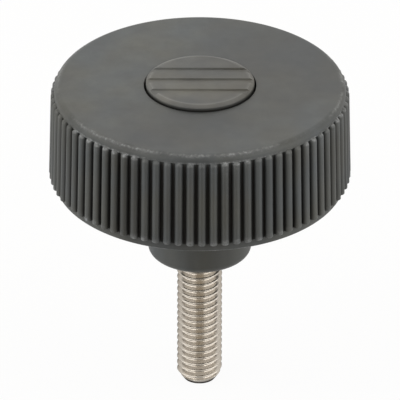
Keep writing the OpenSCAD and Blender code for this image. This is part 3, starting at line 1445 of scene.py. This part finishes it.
@dataclass
class Card:
    """A card out of the camera's sight, brighter or darker than the room, for the steel to reflect.

    Its corners are two rows of points, given in pairs, with heights above the floor. Its strength
    goes from the first value to the second as the distance from the plane X = 0 goes over its span.
    """

    name: str
    corners: tuple[Point, ...]
    colour: Colour
    strength: Pair = (1.0, 1.0)
    span: Pair = (0.3, 1.2)
    glossy_only: bool = False

    @classmethod
    def pair(
        cls, name: str, heights: Pair, strength: Pair, turns: tuple[int, int] = (25, 95)
    ) -> list["Card"]:
        """Makes a left and a right card, bent round the knob's axis, that only reflections show.

        Args:
            name: Name that both cards share.
            heights: Heights of their lower and upper edges above the floor.
            strength: Their brightness near the plane X = 0, and far from it.
            turns: Angles from the front at which they begin and end, in degrees.

        Returns:
            The two cards.
        """
        radius = 0.5
        warm_white = (1.0, 0.965, 0.92)
        steps = [math.radians(turn) for turn in range(turns[0], turns[1] + 1, 5)]
        cards = []
        for label, side in (("left", -radius), ("right", radius)):
            places = [(side * math.sin(t), -radius * math.cos(t), z) for t in steps for z in heights]
            span = (0.21, radius)
            cards.append(cls(f"{label}_{name}", tuple(places), warm_white, strength, span, True))
        return cards

    def build(self, floor_z: float) -> None:
        """Builds the card.

        Args:
            floor_z: Height of the floor, which the corners' heights are measured from.
        """
        data = bpy.data.meshes.new(self.name)
        places = [(x, y, z + floor_z) for x, y, z in self.corners]
        faces = [(i, i + 1, i + 3, i + 2) for i in range(0, len(places) - 2, 2)]
        data.from_pydata(places, [], faces)
        card = bpy.data.objects.new(self.name, data)
        card.visible_camera = False
        card.visible_shadow = False
        card.visible_diffuse = not self.glossy_only
        bpy.context.scene.collection.objects.link(card)
        g = FinishGraph(self.name)
        strength = self.strength[0]
        if self.strength[1] != strength:
            across = g.math("ABSOLUTE", g.split(g.place)[0])
            strength = g.spread(across, *self.span, *self.strength)
        light = {"Color": (*self.colour, 1), "Strength": strength}
        glow = g.add("ShaderNodeEmission", light).outputs[0]
        g.add("ShaderNodeOutputMaterial", {"Surface": glow})
        data.materials.append(g.material)


@dataclass
class Studio:
    """Pale floor, soft lights, a plain world and the camera."""

    floor_z: float
    floor_size: float = 6.0
    # Greys of the floor for the light that it throws back, and as it is seen
    floor_greys: Pair = (0.45, 0.95)
    shadow_share: float = 0.07
    ambient: float = 0.37
    camera_distance: float = 1892.55 * MM
    camera_elevation: float = 29.63
    camera_roll: float = 0.0023
    camera_lens: float = 968.2
    camera_side: float = 0.03 * MM
    camera_target_z: float = 10.041 * MM
    lamps: list[Lamp] = field(
        default_factory=lambda: [
            Lamp("left_softbox", azimuth=-68, elevation=27, power=3.0, size=(0.9, 0.85)),
            Lamp("right_softbox", azimuth=66, elevation=27, power=2.2, size=(0.9, 0.85)),
            Lamp(
                "back_softbox", azimuth=180, elevation=42, power=0.9, size=(0.7, 0.4), reflected=True
            ),
        ]
    )
    cards: list[Card] = field(
        default_factory=lambda: [
            Card(
                "dark_front_card",
                (
                    (-0.006, -0.014, 0.0005), (0.006, -0.014, 0.0005),
                    (-0.23, -0.5, 0.0005), (0.23, -0.5, 0.0005),
                    (-0.23, -0.5, 0.42), (0.23, -0.5, 0.42),
                ),
                colour=(0.61, 0.55, 0.465),
                glossy_only=True,
            ),
            Card(
                "dark_top_card",
                ((-0.16, -0.3, 1.0), (0.16, -0.3, 1.0), (-0.16, 0.5, 1.0), (0.16, 0.5, 1.0)),
                colour=(0.6, 0.53, 0.45),
            ),
            Card(
                "grey_top_card",
                ((-1.2, -0.7, 1.05), (1.2, -0.7, 1.05), (-1.2, 1.2, 1.05), (1.2, 1.2, 1.05)),
                colour=(0.56, 0.52, 0.46),
                strength=(1.0, 2.0),
            ),
            *Card.pair("low_card", heights=(0.0, 0.14), strength=(5.2, 2.6)),
            *Card.pair("side_card", heights=(0.14, 0.4), strength=(1.35, 1.4)),
            *Card.pair("high_card", heights=(0.4, 0.75), strength=(2.3, 1.2)),
            *Card.pair("back_card", heights=(0.0, 0.6), strength=(0.85, 0.85), turns=(100, 160)),
        ]
    )

    def floor(self) -> None:
        """Builds the floor: white to the camera, with a soft shadow, and clear from below."""
        half = self.floor_size / 2
        data = bpy.data.meshes.new("floor")
        square = ((-half, -half), (half, -half), (half, half), (-half, half))
        data.from_pydata([(x, y, self.floor_z) for x, y in square], [], [(0, 1, 2, 3)])
        floor = bpy.data.objects.new("floor", data)
        bpy.context.scene.collection.objects.link(floor)
        g = FinishGraph("floor_white")
        seen = g.seen()
        grey = g.spread(seen, 0.0, 1.0, *self.floor_greys)
        matt = g.add("ShaderNodeBsdfDiffuse", {"Color": grey}).outputs[0]
        glow = g.add("ShaderNodeEmission", {"Color": WHITE, "Strength": 1.0}).outputs[0]
        share = g.math("MULTIPLY", seen, 1 - self.shadow_share)
        front = g.add("ShaderNodeMixShader", {0: share, 1: matt, 2: glow}).outputs[0]
        clear = g.add("ShaderNodeBsdfTransparent").outputs[0]
        below = g.add("ShaderNodeNewGeometry").outputs["Backfacing"]
        surface = g.add("ShaderNodeMixShader", {0: below, 1: front, 2: clear}).outputs[0]
        g.add("ShaderNodeOutputMaterial", {"Surface": surface})
        data.materials.append(g.material)

    def world(self) -> None:
        """Builds the world: white where it is seen, and a plain soft light otherwise."""
        world = bpy.data.worlds.new("studio")
        world.use_nodes = True
        g = Graph(world.node_tree)
        soft, white = (
            g.add("ShaderNodeBackground", {"Color": WHITE, "Strength": strength}).outputs[0]
            for strength in (self.ambient, 1.0)
        )
        mixed = g.add("ShaderNodeMixShader", {0: g.seen(), 1: soft, 2: white}).outputs[0]
        g.add("ShaderNodeOutputWorld", {"Surface": mixed})
        bpy.context.scene.world = world

    def camera(self) -> None:
        """Builds the camera, which looks along +Y and down."""
        data = bpy.data.cameras.new("camera")
        data.lens = self.camera_lens
        data.sensor_width = 36
        data.clip_start = 0.1
        data.clip_end = 20
        camera = bpy.data.objects.new("camera", data)
        target = Vector((self.camera_side, 0, self.camera_target_z))
        camera.location = target + outward(0, self.camera_elevation) * self.camera_distance
        tilt = Matrix.Rotation(math.pi / 2 - math.radians(self.camera_elevation), 3, "X")
        roll = Matrix.Rotation(self.camera_roll, 3, "Z")
        camera.rotation_euler = (tilt @ roll).to_euler()
        bpy.context.scene.collection.objects.link(camera)
        bpy.context.scene.camera = camera

    def build(self) -> None:
        """Builds the whole studio."""
        self.floor()
        self.world()
        self.camera()
        for card in self.cards:
            card.build(self.floor_z)
        for lamp in self.lamps:
            lamp.build(Vector((0, 0, self.camera_target_z)))
        bpy.context.scene.view_settings.view_transform = "Standard"


def main() -> None:
    """Builds the pieces in order, and the studio around them."""
    logging.basicConfig(level=logging.INFO, format="%(name)s: %(message)s")
    body_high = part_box("knob_body")[1]
    cap_low, cap_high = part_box("cover_cap")
    stud_low, stud_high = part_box("threaded_stud")
    makers = [
        KnobBody(top=body_high.z, crest=body_high.x),
        CoverCap(top=cap_high.z, foot=cap_low.z),
        ThreadedStud(tip=stud_low.z, head_top=stud_high.z),
    ]
    for maker in makers:
        piece = maker.build()
        piece.data.calc_loop_triangles()
        LOG.info("%s: %d triangles", piece.name, len(piece.data.loop_triangles))
    Studio(floor_z=stud_low.z).build()


if __name__ == "__main__":
    main()
